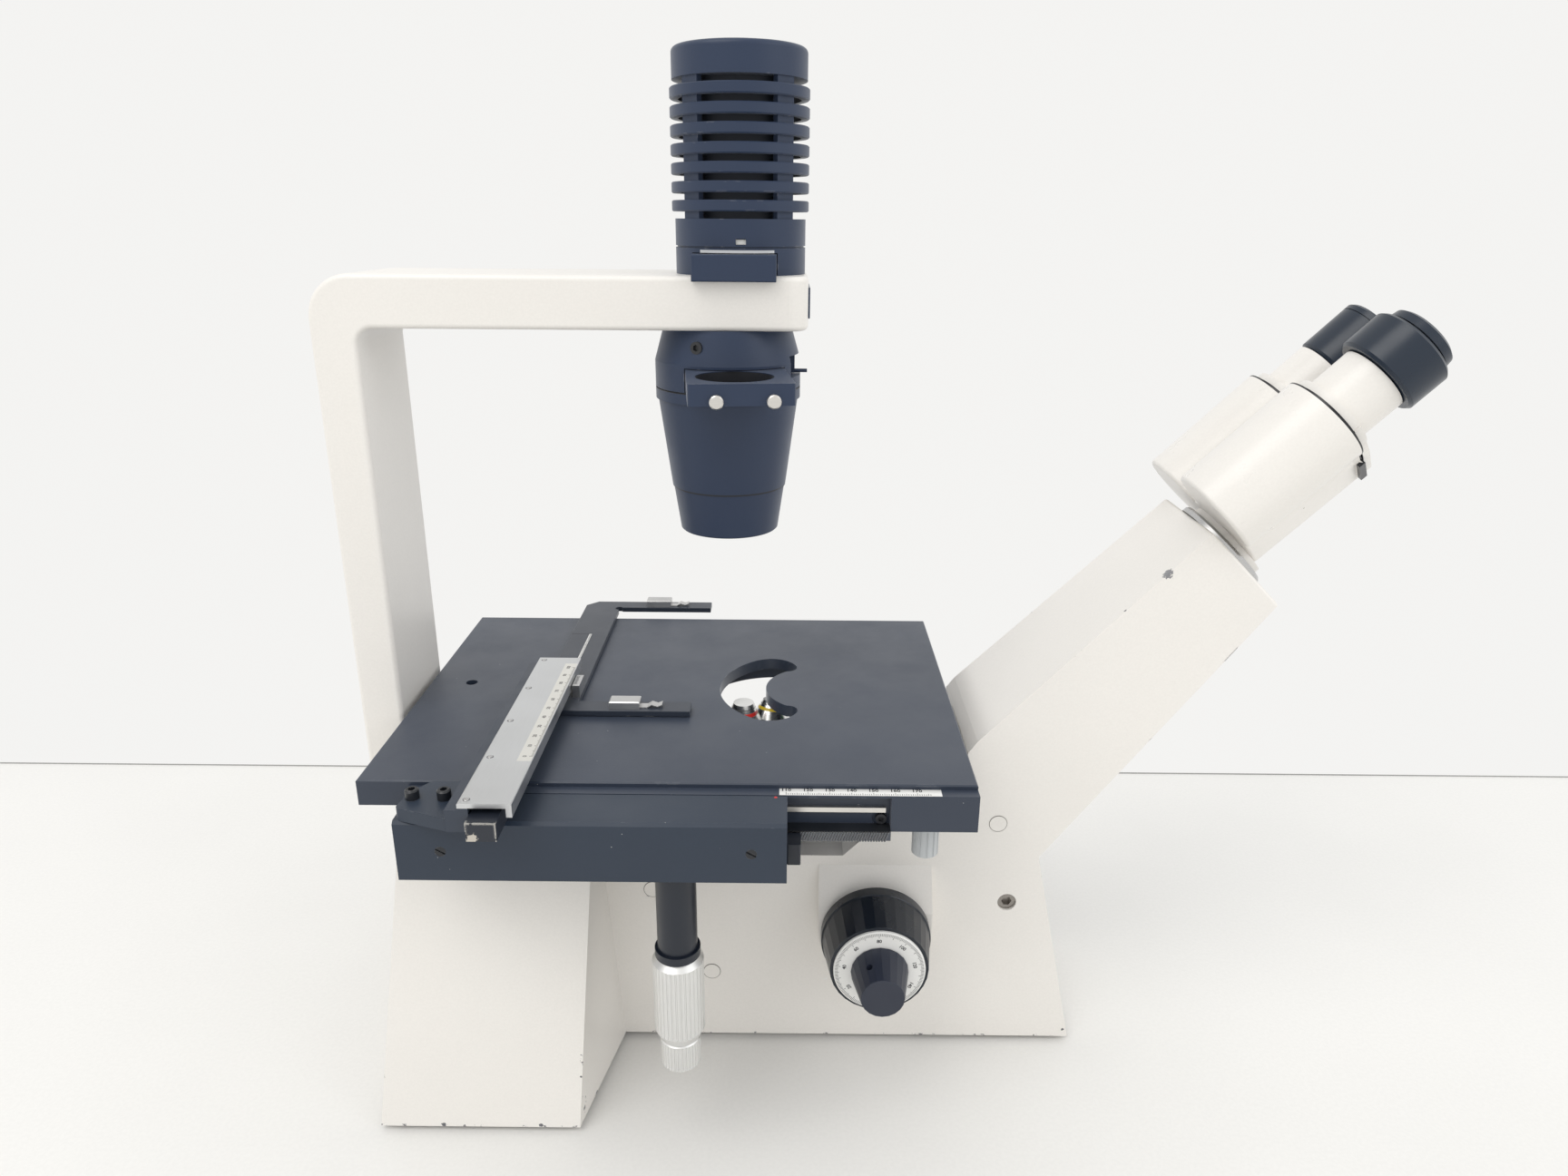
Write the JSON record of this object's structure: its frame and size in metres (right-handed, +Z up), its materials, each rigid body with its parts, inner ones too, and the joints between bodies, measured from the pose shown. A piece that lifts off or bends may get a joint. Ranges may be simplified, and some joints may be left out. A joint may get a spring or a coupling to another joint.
{
  "type": "inverted microscope",
  "caption": "Inverted bench microscope with a cream stand, dark lamp arm with condenser, flat stage with mechanical specimen holder, nosepiece under the stage and an inclined binocular head.",
  "frame": {"origin": "on the bench, straight under the axis of lamp, specimen and working objective", "axes": "+X towards the eyepieces, +Y towards the far side of the stand, +Z up"},
  "size_m": [0.5397, 0.2824, 0.5162],
  "materials": {
    "cream_paint": "satin",
    "sheet_steel": "satin",
    "rubber": "matte",
    "steel": "satin",
    "dark_enamel": "satin",
    "dark_inner": "matte",
    "black_enamel": "satin",
    "stage_enamel": "satin",
    "rack_steel": "satin",
    "grey_plastic": "satin",
    "cream_plastic": "satin",
    "black_plastic": "satin",
    "dark_plastic": "matte",
    "knob_plastic": "satin",
    "mirror": "polished",
    "glass": "polished",
    "brass": "satin",
    "silver": "satin",
    "dial_white": "satin",
    "objective_chrome": "satin"
  },
  "bodies": {
    "stand": {"stand_body": "cream_paint", "base_plate": "sheet_steel", "rubber_feet": "rubber", "column_arm": "cream_paint", "set_screws": "steel", "lamp_housing": "dark_enamel", "lamp_tube": "dark_inner", "lenses": "glass", "condenser_mount": "dark_enamel", "condenser_cone": "dark_enamel", "condenser_nose": "dark_enamel", "stage_plate": "stage_enamel", "guide_rail": "stage_enamel", "stage_rack": "rack_steel", "stage_clamp_screw": "grey_plastic", "side_plugs": "cream_plastic", "port_cap": "black_plastic", "dovetail_ring": "steel", "fold_mirror": "mirror", "power_supply": "sheet_steel", "power_inlet": "black_plastic", "focus_bushes": "brass", "lift_guide": "steel", "switch_bezel": "black_plastic"},
    "lamp_carrier": {"lamp_carrier": "dark_plastic", "bulb": "glass"},
    "slider": {"phase_slider": "dark_enamel", "slider_grips": "silver"},
    "iris": {"iris_lever": "dark_enamel"},
    "lift": {"nosepiece_carrier": "dark_enamel"},
    "turret": {"turret": "dark_enamel", "objective_red": "objective_chrome", "objective_yellow": "objective_chrome", "objective_green": "objective_chrome", "objective_blue": "objective_chrome"},
    "coarse": {"coarse_knobs": "knob_plastic", "coarse_shaft": "steel", "dial_ring": "dial_white"},
    "fine": {"fine_knobs": "knob_plastic", "fine_shaft": "steel"},
    "carriage": {"carriage_block": "dark_enamel", "carriage_bracket": "dark_enamel", "cross_bar": "silver", "carriage_screws": "steel", "drive_tube": "black_enamel"},
    "x_drive": {"x_knob": "silver"},
    "y_drive": {"y_knob": "silver"},
    "holder": {"holder_frame": "black_enamel", "holder_slide": "black_enamel", "holder_clips": "silver"},
    "head": {"head_body": "cream_paint"},
    "near_side": {"near_plate": "cream_paint"},
    "far_side": {"far_plate": "cream_paint"},
    "near_eye": {"near_eyepiece": "dark_plastic", "near_eye_lens": "glass"},
    "far_eye": {"far_eyepiece": "dark_plastic", "far_eye_lens": "glass"},
    "diopter": {"near_diopter_ring": "knob_plastic"},
    "rocker": {"power_switch": "black_plastic"},
    "brightness": {"brightness_knob": "black_plastic"}
  },
  "joints": [
    {"name": "lamp_carrier_pull", "type": "slide", "parent": "stand", "child": "lamp_carrier", "axis": [0, -1, 0], "range_m": [0, 0.045]},
    {"name": "slider_pull", "type": "slide", "parent": "stand", "child": "slider", "axis": [0.1115, -0.9938, 0], "range_m": [0, 0.045]},
    {"name": "iris_turn", "type": "hinge", "parent": "stand", "child": "iris", "pos_m": [-0.0067, 0, 0.379], "axis": [0, 0, 1], "range_deg": [-24, 24]},
    {"name": "nosepiece_lift", "type": "slide", "parent": "stand", "child": "lift", "axis": [0, 0, 1], "range_m": [-0.008, 0.002]},
    {"name": "turret_turn", "type": "hinge", "parent": "lift", "child": "turret", "pos_m": [0.01792, 0, 0.14984], "axis": [0.1736, 0, 0.9848], "continuous": true},
    {"name": "coarse_turn", "type": "hinge", "parent": "stand", "child": "coarse", "pos_m": [0.0726, 0, 0.0806], "axis": [0, 1, 0], "range_deg": [-73.44, 18.43]},
    {"name": "fine_turn", "type": "hinge", "parent": "stand", "child": "fine", "pos_m": [0.0726, 0, 0.0806], "axis": [0, 1, 0], "continuous": true},
    {"name": "carriage_slide", "type": "slide", "parent": "stand", "child": "carriage", "axis": [1, 0, 0], "range_m": [-0.056, 0.062]},
    {"name": "x_drive_turn", "type": "hinge", "parent": "carriage", "child": "x_drive", "pos_m": [-0.0258, -0.1252, 0.11], "axis": [0, 0, 1], "range_deg": [-324.16, 358.89]},
    {"name": "holder_slide", "type": "slide", "parent": "carriage", "child": "holder", "axis": [0, 1, 0], "range_m": [-0.08, 0.005]},
    {"name": "y_drive_turn", "type": "hinge", "parent": "carriage", "child": "y_drive", "pos_m": [-0.0258, -0.1252, 0.066], "axis": [0, 0, 1], "range_deg": [-463.05, 29.03]},
    {"name": "head_turn", "type": "hinge", "parent": "stand", "child": "head", "pos_m": [0.2505, 0, 0.2815], "axis": [0.7071, 0, 0.7071], "range_deg": [-60, 60]},
    {"name": "near_swing", "type": "hinge", "parent": "head", "child": "near_side", "pos_m": [0.2505, 0, 0.2815], "axis": [0.7071, 0, 0.7071], "range_deg": [-6.5, 38]},
    {"name": "far_swing", "type": "hinge", "parent": "head", "child": "far_side", "pos_m": [0.2505, 0, 0.2815], "axis": [-0.7071, 0, -0.7071], "range_deg": [-6.6, 38.1]},
    {"name": "near_eyepiece_pull", "type": "slide", "parent": "near_side", "child": "near_eye", "axis": [0.7071, 0, 0.7071], "range_m": [0, 0.012]},
    {"name": "far_eyepiece_pull", "type": "slide", "parent": "far_side", "child": "far_eye", "axis": [0.7071, 0, 0.7071], "range_m": [0, 0.012]},
    {"name": "diopter_turn", "type": "hinge", "parent": "near_eye", "child": "diopter", "pos_m": [0.31984, -0.02509, 0.39176], "axis": [0.7071, 0, 0.7071], "range_deg": [-90, 90]},
    {"name": "power_rocker", "type": "hinge", "parent": "stand", "child": "rocker", "pos_m": [0.148, 0.04425, 0.062], "axis": [0, 0, 1], "range_deg": [-8, 8]},
    {"name": "brightness_turn", "type": "hinge", "parent": "stand", "child": "brightness", "pos_m": [0.118, 0.05, 0.062], "axis": [0, 1, 0], "range_deg": [-140, 140]}
  ],
  "couplings": [
    {"joint": "coarse_turn", "follows": "nosepiece_lift", "rad_per_m": 160},
    {"joint": "x_drive_turn", "follows": "carriage_slide", "rad_per_m": 101},
    {"joint": "y_drive_turn", "follows": "holder_slide", "rad_per_m": 101},
    {"joint": "far_swing", "follows": "near_swing", "ratio": 1}
  ]
}
